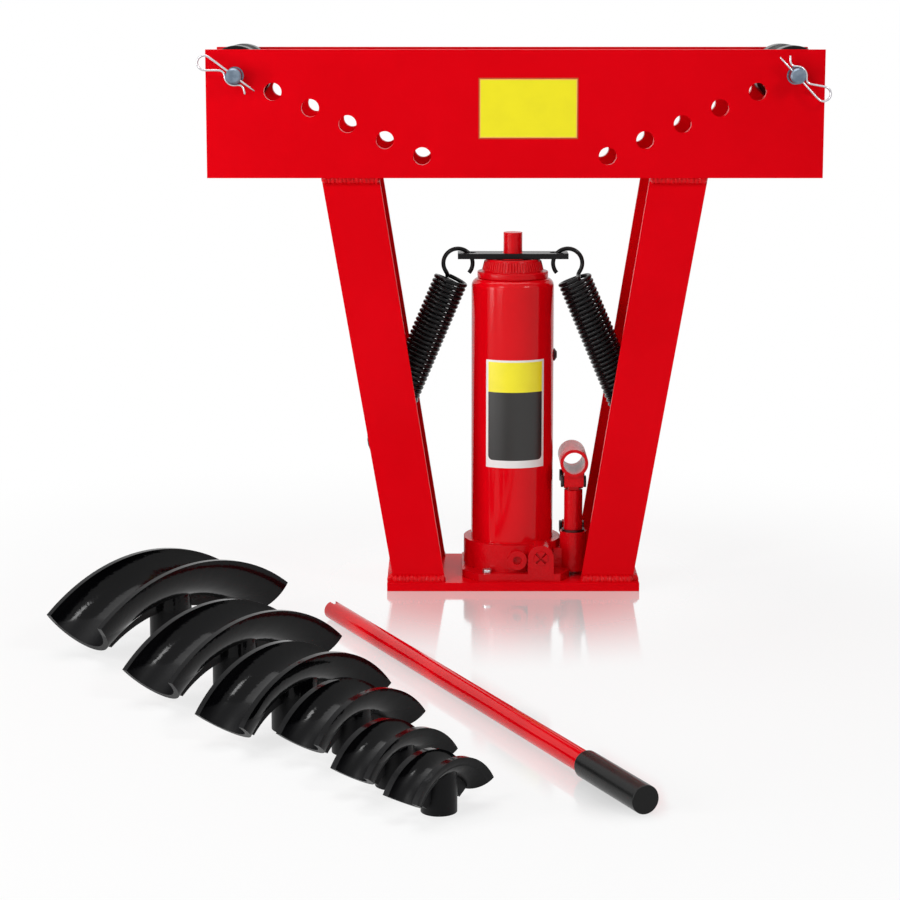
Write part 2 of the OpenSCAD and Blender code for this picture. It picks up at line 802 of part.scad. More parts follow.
module filler_plug() {
    flat = sqrt(pow(tank_r, 2) - pow(plug_head_r, 2));
    rim_t = plug_rim_share * plug_head_t;
    color(RUBBER) translate([0, 0, plug_z]) difference() {
        union() {
            translate([tank_r - tank_wall, 0, 0]) bar_x(tank_wall + rim_t, plug_r);
            translate([flat, 0, 0]) bar_x(tank_r - flat + rim_t, plug_head_r);
            translate([tank_r + rim_t, 0, 0]) rotate([0, 90, 0])
                cylinder(h = plug_head_t - rim_t, r1 = plug_head_r, r2 = plug_crown_share * plug_head_r);
        }
        difference() {
            translate([0, 0, -plug_head_r - over])
                cylinder(h = 2 * (plug_head_r + over), r = tank_r + fit, $fn = 96);
            bar_x(tank_r + over, plug_r);
        }
    }
}

module release_valve() {
    front = valve_front + valve_out;
    color(RED) translate([valve_x, -front, valve_z]) difference() {
        bar_y(valve_len + valve_out - ease, valve_r);
        for (turn = [45, 135]) rotate([0, turn, 0])
            translate([-valve_r, -over, -valve_slot_w / 2])
                cube([2 * valve_r, valve_slot_depth + over, valve_slot_w]);
    }
}

// Pump

module pump_cylinder() {
    inner = plunger_d / 2 + run_fit;
    color(STEEL) translate([pump_x, -pump_y, 0]) difference() {
        translate([0, 0, sleeve_z]) ring(sleeve_r, inner, pump_top_z + sleeve_rim - sleeve_z);
        translate([0, 0, pump_top_z + sleeve_rim - packing_h])
            cylinder(h = packing_h + over, r = inner + packing_w + fit);
    }
}

module pump_packing() {
    inner = plunger_d / 2 + run_fit;
    color(RUBBER) translate([pump_x, -pump_y, pump_top_z + sleeve_rim - packing_h])
        ring(inner + packing_w, inner, packing_h);
}

module pump_plunger() {
    color(RED) translate([pump_x, -pump_y, 0]) difference() {
        union() {
            translate([0, 0, plunger_z]) cylinder(h = plunger_neck_z - plunger_z, r = plunger_d / 2);
            translate([-eye_w / 2, -eye_r, plunger_neck_z])
                cube([eye_w, 2 * eye_r, pivot_z - plunger_neck_z]);
            translate([-eye_w / 2, 0, pivot_z]) bar_x(eye_w, eye_r);
        }
        translate([-eye_w, 0, pivot_z]) bar_x(2 * eye_w, pivot_r + fit);
    }
}

// A pin across the pump's pivots, with a head on each end
module pivot_pin() {
    reach = strap_out + ease;
    translate([-reach, 0, 0]) bar_x(2 * reach, pivot_r);
    translate([reach, 0, 0]) bar_x(pivot_head_t, pivot_head_r);
    translate([-reach - pivot_head_t, 0, 0]) bar_x(pivot_head_t, pivot_head_r);
}

module plunger_bolt() {
    color(BLACK) translate([pump_x, -pump_y, pivot_z]) pivot_pin();
}

module link_pins() {
    color(BLACK) for (z = [link_foot_z, pivot_z]) translate([pump_x, fulcrum_y, z]) pivot_pin();
}

module fulcrum_link() {
    color(RED) translate([pump_x - eye_w / 2, fulcrum_y, 0]) difference() {
        union() {
            for (z = [link_foot_z, pivot_z]) translate([0, 0, z]) bar_x(eye_w, eye_r);
            translate([0, -eye_r, link_foot_z]) cube([eye_w, 2 * eye_r, pivot_z - link_foot_z]);
        }
        for (z = [link_foot_z, pivot_z]) translate([-over, 0, z]) bar_x(eye_w + 2 * over, pivot_r + fit);
    }
}

// Two straps that hang from the socket's tube at one pivot
module socket_straps(y) {
    for (x = [-strap_out, strap_in]) translate([x, y, pivot_z]) {
        bar_x(strap_t, strap_r);
        translate([0, -strap_r, 0]) cube([strap_t, 2 * strap_r, socket_z - pivot_z]);
    }
}

module handle_socket() {
    slot_r = pivot_r + slot_ease;
    apron_y = pump_y + eye_r + slot_reach + apron_gap + apron_t;
    color(RED) translate([pump_x, 0, 0]) difference() {
        union() {
            translate([0, -socket_front, socket_z]) bar_y(socket_front + socket_back, socket_d / 2);
            socket_straps(-pump_y);
            socket_straps(fulcrum_y);
            translate([-strap_out, -apron_y, pivot_z - apron_drop])
                cube([2 * strap_out, apron_t, socket_z - pivot_z + apron_drop]);
            for (x = [-strap_out, strap_in]) translate([x, -apron_y, pivot_z])
                cube([strap_t, apron_y - pump_y, socket_z - pivot_z]);
        }
        translate([0, -socket_front - over, socket_z])
            bar_y(socket_front + socket_back + 2 * over, socket_bore / 2);
        translate([-strap_out - over, fulcrum_y, pivot_z]) bar_x(2 * (strap_out + over), pivot_r + run_fit);
        for (y = [-pump_y, -pump_y - slot_reach])
            translate([-strap_out - over, y, pivot_z]) bar_x(2 * (strap_out + over), slot_r);
        translate([-strap_out - over, -pump_y - slot_reach, pivot_z - slot_r])
            cube([2 * (strap_out + over), slot_reach, 2 * slot_r]);
    }
}

module inlet_ball() {
    color(STEEL) translate([pump_x, -pump_y, sleeve_z]) sphere(r = ball_r);
}

module outlet_ball() {
    color(STEEL) translate([0, 0, outlet_ball_z]) sphere(r = ball_r);
}

// Stickers

module plate_sticker() {
    color("yellow") translate([plate_sticker_x[0], -plate_out_y - sticker_t, plate_sticker_z[0]])
        cube([plate_sticker_x[1] - plate_sticker_x[0], sticker_t, plate_sticker_z[1] - plate_sticker_z[0]]);
}

module jack_sticker() {
    color("gold") translate([0, 0, jack_sticker_z[0]]) rotate([0, 0, jack_sticker_from - 90])
        rotate_extrude(angle = jack_sticker_to - jack_sticker_from, $fn = 96) translate([tank_r + fit, 0])
            square([sticker_t, jack_sticker_z[1] - jack_sticker_z[0]]);
}

// Handle, built along +X from its notched end and laid on the floor

module handle_frame() {
    translate([handle_end.x, handle_end.y, handle_d / 2]) rotate([0, 0, handle_turn])
        rotate([0, -handle_tilt, 0]) children();
}

module pump_handle() {
    bore = handle_d / 2 - handle_wall;
    length = handle_len - grip_cap;
    color(RED) handle_frame() difference() {
        bar_x(length, handle_d / 2);
        translate([-over, 0, 0]) bar_x(length + 2 * over, bore);
        translate([-over, -notch_w / 2, -handle_d]) cube([notch_depth + over, notch_w, 2 * handle_d]);
    }
}

module handle_grip() {
    color(RUBBER) handle_frame() difference() {
        translate([handle_len - grip_len, 0, 0]) bar_x(grip_len, grip_r);
        translate([handle_len - grip_len - over, 0, 0]) bar_x(grip_len - grip_cap + over, handle_d / 2 + fit);
    }
}

// Dies: a groove swept about the bend's axis, on a rib and a boss with a blind socket

module die_profile(pipe_r, bend_r) {
    outer = pipe_r + die_wall;
    difference() {
        union() {
            translate([bend_r, 0]) circle(r = outer, $fn = 64);
            translate([bend_r - die_rim_h, -pipe_r - die_rim]) square([die_rim_h, 2 * (pipe_r + die_rim)]);
        }
        translate([bend_r, 0]) circle(r = pipe_r, $fn = 64);
        translate([bend_r, -2 * outer]) square([2 * outer, 4 * outer]);
    }
}

// A boss that reaches up into the middle of the groove's wall
module die_boss(i, pipe_r, bend_r, axis_z) {
    difference() {
        cylinder(h = die_boss_h[i] + pipe_r, r = die_boss_r[i]);
        translate([0, 0, axis_z]) rotate([90, 0, 0]) rotate_extrude($fn = 96)
            translate([bend_r, 0]) circle(r = pipe_r + die_wall / 2, $fn = 64);
    }
}

module die(i) {
    pipe_r = die_pipe_d[i] / 2;
    bend_r = die_bend_shares[i] * die_pipe_d[i];
    half = die_half_angle[i];
    under_r = bend_r - pipe_r - die_wall;
    axis_z = die_boss_h[i] - under_r;
    rib_half = half - die_rib_short;
    color(BLACK) translate([die_place[i].x, die_place[i].y, 0]) rotate([0, 0, die_turn]) difference() {
        union() {
            translate([0, 0, axis_z]) rotate([90, 0, 0]) rotate([0, 0, 90 - half])
                rotate_extrude(angle = 2 * half, $fn = 96) die_profile(pipe_r, bend_r);
            translate([0, 0, axis_z]) rotate([90, 0, 0]) rotate([0, 0, 90 - rib_half])
                rotate_extrude(angle = 2 * rib_half, $fn = 96)
                    translate([under_r - die_rib_h, -die_rib_t / 2])
                        square([die_rib_h + die_wall / 2, die_rib_t]);
            die_boss(i, pipe_r, bend_r, axis_z);
        }
        translate([0, 0, -over]) cylinder(h = die_socket_len + over, r = die_socket_r);
    }
}

base_plate();
left_leg();
right_leg();
front_plate();
back_plate();
weld_beads();
left_roller();
right_roller();
left_roller_pin();
right_roller_pin();
left_clip();
right_clip();
left_anchor_bolt();
right_anchor_bolt();
anchor_nuts();
left_spring();
right_spring();
jack_base();
jack_screws();
reservoir_tube();
pressure_cylinder();
top_nut();
ram_wiper();
ram();
piston();
piston_seal();
spring_bar();
stub_pin();
filler_plug();
release_valve();
pump_cylinder();
pump_packing();
pump_plunger();
plunger_bolt();
handle_socket();
fulcrum_link();
link_pins();
inlet_ball();
outlet_ball();
plate_sticker();
jack_sticker();
pump_handle();
handle_grip();
die(0);  // die_60
die(1);  // die_48
die(2);  // die_42
die(3);  // die_33
die(4);  // die_27
die(5);  // die_21
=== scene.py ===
"""Studio scene of a hydraulic pipe bender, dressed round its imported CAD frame."""

import json
import logging
import math
import random
from dataclasses import dataclass
from enum import Enum
from typing import Dict, List, Optional, Sequence, Tuple, Union

import bmesh
import bpy
from mathutils import Matrix, Vector


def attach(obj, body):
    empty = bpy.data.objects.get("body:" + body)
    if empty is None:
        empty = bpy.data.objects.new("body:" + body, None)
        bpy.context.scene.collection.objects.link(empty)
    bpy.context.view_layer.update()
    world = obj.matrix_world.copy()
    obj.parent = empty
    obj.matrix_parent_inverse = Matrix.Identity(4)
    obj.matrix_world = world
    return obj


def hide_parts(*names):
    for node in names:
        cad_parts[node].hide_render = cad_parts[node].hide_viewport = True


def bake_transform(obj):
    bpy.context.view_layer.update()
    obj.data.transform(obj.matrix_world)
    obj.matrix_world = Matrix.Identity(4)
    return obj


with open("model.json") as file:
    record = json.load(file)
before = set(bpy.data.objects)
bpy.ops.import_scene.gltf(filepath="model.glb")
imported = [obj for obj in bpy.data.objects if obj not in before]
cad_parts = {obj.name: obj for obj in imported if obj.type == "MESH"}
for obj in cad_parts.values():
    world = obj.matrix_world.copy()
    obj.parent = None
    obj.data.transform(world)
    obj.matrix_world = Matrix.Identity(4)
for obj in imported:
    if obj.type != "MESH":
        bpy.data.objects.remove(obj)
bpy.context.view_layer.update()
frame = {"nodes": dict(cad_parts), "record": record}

MM = 0.001
MERGE = 0.000002
FLAT_ANGLE = 0.3
SHARP_ANGLE = 38.0
SMOOTH_ANGLE = 35.0
WIRE_ANGLE = 60.0
BEVEL_STEPS = 2
ROUND_PROFILE = 0.5
WHITE = (1.0, 1.0, 1.0, 1.0)
Colour = Tuple[float, float, float]
Span = Tuple[float, float]
log = logging.getLogger("pipe_bender")


class Slot(str, Enum):
    """The record's material slots."""

    RED = "red_paint"
    ENAMEL = "black_enamel"
    CASTING = "black_casting"
    ZINC = "zinc"
    BLACK_STEEL = "black_steel"
    SPRING = "spring_black"
    BRIGHT = "bright_steel"
    SEAL = "seal_rubber"
    GRIP = "grip_rubber"
    PLATE_LABEL = "plate_sticker"
    JACK_LABEL = "jack_sticker"


class Side(Enum):
    """The two sides of the frame, with the sign of their X."""

    LEFT = -1
    RIGHT = 1

    @property
    def word(self) -> str:
        """The side's name in node names."""
        return self.name.lower()


class Term:
    """A shader socket that can stand in Python sums."""

    def __init__(self, graph: "Graph", socket: Optional[bpy.types.NodeSocket]) -> None:
        """Keeps the socket and the graph that new nodes go into."""
        self.graph = graph
        self.socket = socket

    def _math(self, operation: str, *values: Union["Term", float]) -> "Term":
        """Adds a Math node.

        Args:
            operation: the node's operation.
            values: what goes into its sockets, in order.
        Returns:
            The node's result.
        """
        return self.graph.add("ShaderNodeMath", {"operation": operation}, dict(enumerate(values)))

    def __add__(self, other: Union["Term", float]) -> "Term":
        """self + other"""
        return self._math("ADD", self, other)

    __radd__ = __add__

    def __sub__(self, other: Union["Term", float]) -> "Term":
        """self - other"""
        return self._math("SUBTRACT", self, other)

    def __rsub__(self, other: float) -> "Term":
        """other - self"""
        return self._math("SUBTRACT", other, self)

    def __mul__(self, other: Union["Term", float]) -> "Term":
        """self * other"""
        return self._math("MULTIPLY", self, other)

    def __truediv__(self, other: Union["Term", float]) -> "Term":
        """self / other"""
        return self._math("DIVIDE", self, other)

    def __abs__(self) -> "Term":
        """The absolute value."""
        return self._math("ABSOLUTE", self)

    def high(self, other: Union["Term", float]) -> "Term":
        """The larger of two values."""
        return self._math("MAXIMUM", self, other)

    def low(self, other: Union["Term", float]) -> "Term":
        """The smaller of two values."""
        return self._math("MINIMUM", self, other)

    def power(self, other: float) -> "Term":
        """self to a power."""
        return self._math("POWER", self, other)

    def angle_to(self, other: "Term") -> "Term":
        """The angle whose tangent is self / other."""
        return self._math("ARCTAN2", self, other)

    def rise(self, start: float, end: float) -> "Term":
        """A smooth step from 0 at start to 1 at end."""
        settings = {"interpolation_type": "SMOOTHSTEP"}
        return self.graph.add("ShaderNodeMapRange", settings, {0: self, 1: start, 2: end, 3: 0.0, 4: 1.0})


@dataclass(frozen=True)
class Octaves:
    """How many octaves a noise has and how much the finer ones weigh."""

    detail: float
    roughness: float = 0.55


class Graph:
    """The node tree of a material or of the world."""

    COLOUR_MIX_ENDS = (6, 7)
    COLOUR_MIX_RESULT = 2

    def __init__(self, owner: Union[bpy.types.Material, bpy.types.World]) -> None:
        """Keeps the owner and empties its node tree."""
        owner.use_nodes = True
        self.owner = owner
        self.tree = owner.node_tree
        self.tree.nodes.clear()

    def add(
        self,
        kind: str,
        settings: Optional[Dict[str, object]] = None,
        sockets: Optional[Dict[Union[str, int], object]] = None,
        output: Union[str, int] = 0,
    ) -> Term:
        """Adds a node.

        Args:
            kind: the node's type.
            settings: its own settings, set first.
            sockets: values or links of its input sockets.
            output: which of its results is wanted.
        Returns:
            That result, which is empty for a tree's last node.
        """
        node = self.tree.nodes.new(kind)
        for key, value in (settings or {}).items():
            setattr(node, key, value)
        for key, value in (sockets or {}).items():
            if isinstance(value, Term):
                self.tree.links.new(value.socket, node.inputs[key])
            else:
                node.inputs[key].default_value = value
        return Term(self, node.outputs[output] if node.outputs else None)

    def ray(self, kind: str) -> Term:
        """1 on rays of that kind and 0 on others."""
        return self.add("ShaderNodeLightPath", output=kind)

    def watched(self) -> Term:
        """1 on rays that the camera sees, also in a mirror or through glass."""
        straight = self.ray("Is Camera Ray")
        return straight.high(self.ray("Is Glossy Ray")).high(self.ray("Is Transmission Ray"))

    def place(self) -> Term:
        """The point on the piece, in metres."""
        return self.add("ShaderNodeTexCoord", output="Object")

    def axes(self, point: Term) -> Tuple[Term, Term, Term]:
        """The three coordinates of a point."""
        split = self.add("ShaderNodeSeparateXYZ", None, {0: point})
        node = split.socket.node
        return tuple(Term(self, node.outputs[i]) for i in range(3))

    def scaled(self, point: Term, scale: Sequence[float]) -> Term:
        """A point with its axes stretched by the three scales."""
        return self.add("ShaderNodeMapping", None, {"Vector": point, "Scale": tuple(scale)})

    def noise(self, point: Term, scale: float, octaves: Octaves) -> Term:
        """Noise from 0 to 1.

        Args:
            point: where it is read.
            scale: waves to a metre.
            octaves: how fine it goes.
        Returns:
            The noise's value.
        """
        sockets = {
            "Vector": point, "Scale": scale, "Detail": octaves.detail, "Roughness": octaves.roughness,
        }
        return self.add("ShaderNodeTexNoise", None, sockets)

    def mix(self, factor: Term, first: object, second: object) -> Term:
        """A colour between two colours.

        Args:
            factor: 0 gives the first and 1 the second.
            first: a colour or a link.
            second: a colour or a link.
        Returns:
            The mixed colour.
        """
        sockets: Dict[Union[str, int], object] = {0: factor}
        for index, value in zip(self.COLOUR_MIX_ENDS, (first, second)):
            sockets[index] = value if isinstance(value, Term) else (*value, 1.0)
        return self.add("ShaderNodeMix", {"data_type": "RGBA"}, sockets, self.COLOUR_MIX_RESULT)

    def bump(
        self, height: Term, distance: float, strength: float = 1.0, under: Optional[Term] = None
    ) -> Term:
        """A normal from a height.

        Args:
            height: the height, about 0 to 1.
            distance: metres that a height of 1 stands for.
            strength: share of the effect.
            under: a normal that it adds to.
        Returns:
            The bumped normal.
        """
        sockets: Dict[Union[str, int], object] = {
            "Height": height, "Distance": distance, "Strength": strength,
        }
        if under is not None:
            sockets["Normal"] = under
        return self.add("ShaderNodeBump", None, sockets)

    def finish(
        self, surface: Term, kind: str = "ShaderNodeOutputMaterial"
    ) -> Union[bpy.types.Material, bpy.types.World]:
        """Joins a shader to an output node of that kind and gives the owner."""
        self.add(kind, None, {"Surface": surface})
        return self.owner


def new_graph(name: str) -> Graph:
    """The empty graph of a new material of that name."""
    return Graph(bpy.data.materials.new(name))


CLOUD = Octaves(4.0)
SMEAR = Octaves(5.0, 0.65)
GRAIN = Octaves(2.0)
LUMP = Octaves(3.0, 0.6)
FADE = Octaves(3.0)
CLOUD_EDGES = (0.35, 0.68)
SMEARS_TO_CLOUD = 7.0
SPECK_SCALE = 420.0
SPECK_EDGES = (0.68, 0.74)
MATTE_BAND = 0.004
ROUGHNESS_RANGE = (0.04, 1.0)
NOISE_MIDDLE = 0.5


@dataclass(frozen=True)
class Finish:
    """A paint, plating or rubber with its grain.

    The colour drifts to a second tone in soft clouds, the gloss varies with
    smears and specks, and two grains of bump stand for casting and skin.
    """

    name: str
    colour: Colour
    second: Colour
    roughness: float
    swing: float = 0.08
    metallic: float = 0.0
    specular: float = 0.5
    cloud: float = 9.0
    grain: float = 900.0
    grain_depth: float = 0.00003
    lump: float = 120.0
    lump_depth: float = 0.0
    stretch: Tuple[float, float, float] = (1.0, 1.0, 1.0)
    specks: float = 0.0
    matte_from: float = 0.0
    matte: float = 0.0

    def material(self) -> bpy.types.Material:
        """Builds the material."""
        graph = new_graph(self.name)
        point = graph.place()
        drawn = graph.scaled(point, self.stretch)
        cloud = graph.noise(point, self.cloud, CLOUD)
        smear = graph.noise(drawn, self.cloud * SMEARS_TO_CLOUD, SMEAR)
        colour = graph.mix(cloud.rise(*CLOUD_EDGES), self.colour, self.second)
        swings = (smear - NOISE_MIDDLE) * (2.0 * self.swing)
        rough = self.roughness + swings + (cloud - NOISE_MIDDLE) * self.swing
        if self.specks:
            speck = graph.noise(point, SPECK_SCALE, GRAIN).rise(*SPECK_EDGES)
            rough = rough + speck * self.specks
        if self.matte:
            height = graph.axes(point)[2]
            above = height.rise(self.matte_from - MATTE_BAND, self.matte_from)
            rough = rough + (1.0 - above) * self.matte
        normal = graph.bump(graph.noise(drawn, self.grain, GRAIN), self.grain_depth)
        if self.lump_depth:
            normal = graph.bump(graph.noise(point, self.lump, LUMP), self.lump_depth, 1.0, normal)
        lowest, highest = ROUGHNESS_RANGE
        shader = graph.add(
            "ShaderNodeBsdfPrincipled",
            None,
            {
                "Base Color": colour,
                "Roughness": rough.high(lowest).low(highest),
                "Metallic": self.metallic,
                "Specular IOR Level": self.specular,
                "Normal": normal,
            },
        )
        return graph.finish(shader)


@dataclass(frozen=True)
class Film:
    """A sticker's film: its print pales in soft clouds, and it lies in slight waves."""

    fade_scale: float
    faded: float
    roughness: float
    swing: float
    wave_scale: float
    fade_edges: Span = (0.3, 0.8)
    wave_depth: float = 0.0002
    wave_share: float = 0.5

    def fade(self, graph: Graph, point: Term) -> Term:
        """The clouds in which the print pales."""
        return graph.noise(point, self.fade_scale, FADE)

    def field(self, graph: Graph, point: Term, colour: Colour) -> Term:
        """A printed field of that colour."""
        pale = tuple(self.faded * c for c in colour)
        return graph.mix(self.fade(graph, point).rise(*self.fade_edges), colour, pale)

    def surface(self, graph: Graph, point: Term, colour: Term) -> Term:
        """The film's shader with that print on it."""
        wave = graph.noise(point, self.wave_scale, GRAIN)
        sockets = {
            "Base Color": colour,
            "Roughness": self.fade(graph, point) * self.swing + self.roughness,
            "Normal": graph.bump(wave, self.wave_depth, self.wave_share),
        }
        return graph.add("ShaderNodeBsdfPrincipled", None, sockets)


@dataclass(frozen=True)
class PlateLabel:
    """Yellow film on the front plate with a thin brown edge and a pale line inside it."""

    name: str = "plate_label_film"
    film: Film = Film(60.0, 0.96, 0.32, 0.1, 55.0)
    low: Span = (-33.0, 417.6)
    high: Span = (56.7, 472.3)
    yellow: Colour = (0.93, 0.83, 0.003)
    brown: Colour = (0.5, 0.045, 0.002)
    pale: Colour = (0.93, 0.52, 0.1)
    edge: float = 1.1
    line: float = 0.9
    blur: float = 0.15

    def material(self) -> bpy.types.Material:
        """Builds the material."""
        graph = new_graph(self.name)
        point = graph.place()
        x, _, z = graph.axes(point)
        half = [(self.high[i] - self.low[i]) / 2 * MM for i in (0, 1)]
        middle = [(self.high[i] + self.low[i]) / 2 * MM for i in (0, 1)]
        from_edge = (half[0] - abs(x - middle[0])).low(half[1] - abs(z - middle[1])) / MM
        past_edge = from_edge.rise(self.edge - self.blur, self.edge + self.blur)
        inner = self.edge + self.line
        past_line = from_edge.rise(inner - 2.0 * self.blur, inner + 2.0 * self.blur)
        field = self.film.field(graph, point, self.yellow)
        colour = graph.mix(past_edge, self.brown, graph.mix(past_line, self.pale, field))
        return graph.finish(self.film.surface(graph, point, colour))


@dataclass(frozen=True)
class JackLabel:
    """Film on the jack: a white edge round a yellow and a charcoal field."""

    name: str = "jack_label_film"
    film: Film = Film(70.0, 0.95, 0.26, 0.12, 45.0)
    radius: float = 38.9
    middle_angle: float = 3.5
    half_angle: float = 43.5
    low: float = 112.0
    high: float = 213.0
    split: float = 183.0
    side_edge: float = 2.5
    top_edge: float = 1.9
    bottom_edge: float = 7.0
    corner: float = 4.5
    blur: float = 0.12
    white: Colour = (0.86, 0.86, 0.84)
    yellow: Colour = (0.98, 0.88, 0.02)
    charcoal: Colour = (0.018, 0.017, 0.016)

    def material(self) -> bpy.types.Material:
        """Builds the material."""
        graph = new_graph(self.name)
        point = graph.place()
        x, y, z = graph.axes(point)
        turn = x.angle_to(y * -1.0) - math.radians(self.middle_angle)
        across = abs(turn) * self.radius
        height = z / MM
        half = math.radians(self.half_angle) * self.radius - self.side_edge
        bottom = self.low + self.bottom_edge
        top = self.high - self.top_edge
        inside = (half - across).low(height - bottom).low(top - height)
        corner_x = (across - (half - self.corner)).high(0.0)
        corner_z = ((bottom + self.corner) - height).high(0.0)
        corner = self.corner - (corner_x * corner_x + corner_z * corner_z).power(0.5)
        field_mask = inside.low(corner).rise(-self.blur, self.blur)
        upper = height.rise(self.split - self.blur, self.split + self.blur)
        print_colour = graph.mix(upper, self.charcoal, self.film.field(graph, point, self.yellow))
        colour = graph.mix(field_mask, self.white, print_colour)
        return graph.finish(self.film.surface(graph, point, colour))


@dataclass(frozen=True)
class Sheen:
    """Studio floor: white, with the object's soft shadow and a faint mirror image.

    Far from the object it turns to plain white, so that it has no edge.
    """

    name: str = "studio_floor"
    colour: Colour = (0.92, 0.92, 0.92)
    roughness: float = 0.07
    smudge_scale: float = 6.0
    smudge_swing: float = 0.03
    lift: float = 0.76
    middle: Span = (-0.06, -0.3)
    fade: Span = (0.3, 0.9)
    base_mirror: float = 0.58
    base_middle: Span = (0.0, -0.02)
    base_fade: Span = (0.09, 0.31)
    handle_mirror: float = 0.26
    handle_end: Span = (-0.162, -0.158)
    handle_turn: float = -65.2
    handle_fade: Span = (0.012, 0.05)
    handle_reach: Span = (0.52, 0.58)

    def material(self) -> bpy.types.Material:
        """Builds the material."""
        graph = new_graph(self.name)
        point = graph.place()
        x, y, _ = graph.axes(point)
        rough = graph.noise(point, self.smudge_scale, GRAIN) * self.smudge_swing + self.roughness
        matt = graph.add("ShaderNodeBsdfDiffuse", None, {"Color": (*self.colour, 1.0)})
        white = graph.add("ShaderNodeEmission", None, {"Color": WHITE, "Strength": 1.0})
        image = graph.add("ShaderNodeBsdfGlossy", None, {"Color": WHITE, "Roughness": rough})
        far = self.reach(x, y, self.middle).rise(*self.fade)
        lit = graph.watched() * (far * (1.0 - self.lift) + self.lift)
        shade = graph.add("ShaderNodeMixShader", None, {0: lit, 1: matt, 2: white})
        near_base = (1.0 - self.reach(x, y, self.base_middle).rise(*self.base_fade)) * self.base_mirror
        share = graph.ray("Is Camera Ray") * near_base.high(self.near_handle(x, y))
        return graph.finish(graph.add("ShaderNodeMixShader", None, {0: share, 1: shade, 2: image}))

    def near_handle(self, x: Term, y: Term) -> Term:
        """The mirror's share beside the handle, from its end to its grip."""
        turn = math.radians(self.handle_turn)
        ahead, aside = x - self.handle_end[0], y - self.handle_end[1]
        along = ahead * math.cos(turn) + aside * math.sin(turn)
        across = aside * math.cos(turn) - ahead * math.sin(turn)
        length = along.rise(0.0, self.handle_fade[1]) * (1.0 - along.rise(*self.handle_reach))
        return (1.0 - abs(across).rise(*self.handle_fade)) * length * self.handle_mirror

    @staticmethod
    def reach(x: Term, y: Term, middle: Span) -> Term:
        """Distance from a place on the floor."""
        aside, along = x - middle[0], y - middle[1]
        return (aside * aside + along * along).power(0.5)


FINISHES: Dict[Slot, Union[Finish, PlateLabel, JackLabel]] = {
    Slot.RED: Finish(
        "red_gloss_paint", (0.78, 0.0008, 0.006), (0.73, 0.0006, 0.005), 0.22, 0.04, specular=0.03,
        grain=620.0, grain_depth=0.00003, lump=70.0, lump_depth=0.0001,
    ),
    Slot.ENAMEL: Finish(
        "black_enamel", (0.004, 0.004, 0.0045), (0.007, 0.007, 0.008), 0.28, 0.08, specular=0.15,
        lump=140.0, lump_depth=0.0001,
    ),
    Slot.CASTING: Finish(
        "black_cast_gloss", (0.0015, 0.0015, 0.002), (0.003, 0.003, 0.0036), 0.12, 0.05, specular=0.14,
        grain=420.0, grain_depth=0.00005, lump=60.0, lump_depth=0.0003,
        specks=0.1, matte_from=0.03, matte=0.3,
    ),
    Slot.ZINC: Finish(
        "zinc_plate", (0.2, 0.25, 0.31), (0.13, 0.17, 0.22), 0.34, 0.14, metallic=1.0,
        cloud=160.0, grain=1400.0, grain_depth=0.00004, stretch=(1.0, 0.2, 1.0),
    ),
    Slot.BLACK_STEEL: Finish(
        "blackened_steel", (0.016, 0.016, 0.018), (0.03, 0.029, 0.028), 0.36, 0.12, specular=0.35,
        lump=210.0, lump_depth=0.00008,
    ),
    Slot.SPRING: Finish(
        "black_spring_wire", (0.004, 0.004, 0.0045), (0.007, 0.007, 0.0075), 0.18, 0.06, specular=0.15,
        lump=260.0, lump_depth=0.00008,
    ),
    Slot.BRIGHT: Finish(
        "turned_steel", (0.5, 0.5, 0.51), (0.4, 0.4, 0.41), 0.28, 0.1, metallic=1.0,
        grain=1600.0, grain_depth=0.00002, stretch=(0.15, 0.15, 1.0),
    ),
    Slot.SEAL: Finish("seal_rubber", (0.02, 0.004, 0.005), (0.03, 0.005, 0.006), 0.45, 0.1, specular=0.2),
    Slot.GRIP: Finish(
        "grip_rubber", (0.004, 0.004, 0.004), (0.007, 0.007, 0.007), 0.3, 0.09, specular=0.18,
        lump=300.0, lump_depth=0.00006,
    ),
    Slot.PLATE_LABEL: PlateLabel(),
    Slot.JACK_LABEL: JackLabel(),
}

RED_TANK = Finish(
    "red_tank_paint", (0.76, 0.0008, 0.006), (0.71, 0.0006, 0.005), 0.11, 0.02, specular=0.18,
    grain=500.0, grain_depth=0.00002, lump=45.0, lump_depth=0.00008,
)
RED_CAST = Finish(
    "red_cast_paint", (0.7, 0.001, 0.006), (0.58, 0.0008, 0.005), 0.24, 0.08, specular=0.16,
    grain=420.0, grain_depth=0.0001, lump=150.0, lump_depth=0.0008,
)
RED_WELD = Finish(
    "red_weld_paint", (0.76, 0.001, 0.006), (0.7, 0.0008, 0.005), 0.22, 0.06, specular=0.14,
    grain=700.0, grain_depth=0.00008, lump=200.0, lump_depth=0.0003,
)
BRIGHT_ZINC = Finish(
    "zinc_wire", (0.62, 0.6, 0.62), (0.5, 0.49, 0.52), 0.25, 0.1, metallic=1.0,
    cloud=120.0, grain=1400.0, grain_depth=0.00002,
)
# Painted shade: steel made dark and tinted red, so that the pump sleeve's rim shows no bright ring.
SHADE_DARKENED_STEEL = Finish(
    "oiled_steel", (0.09, 0.03, 0.03), (0.06, 0.02, 0.02), 0.4, 0.1, metallic=1.0,
    grain=1600.0, grain_depth=0.00002, stretch=(0.15, 0.15, 1.0),
)
OTHER_LOOKS: Dict[str, Finish] = {
    "reservoir_tube": RED_TANK, "pump_handle": RED_TANK,
    "jack_base": RED_CAST, "top_nut": RED_CAST, "ram": RED_CAST, "release_valve": RED_CAST,
    "pump_plunger": RED_CAST, "handle_socket": RED_CAST, "fulcrum_link": RED_CAST,
    "weld_beads": RED_WELD,
    "left_clip": BRIGHT_ZINC, "right_clip": BRIGHT_ZINC, "jack_screws": BRIGHT_ZINC,
    "pump_cylinder": SHADE_DARKENED_STEEL,
}

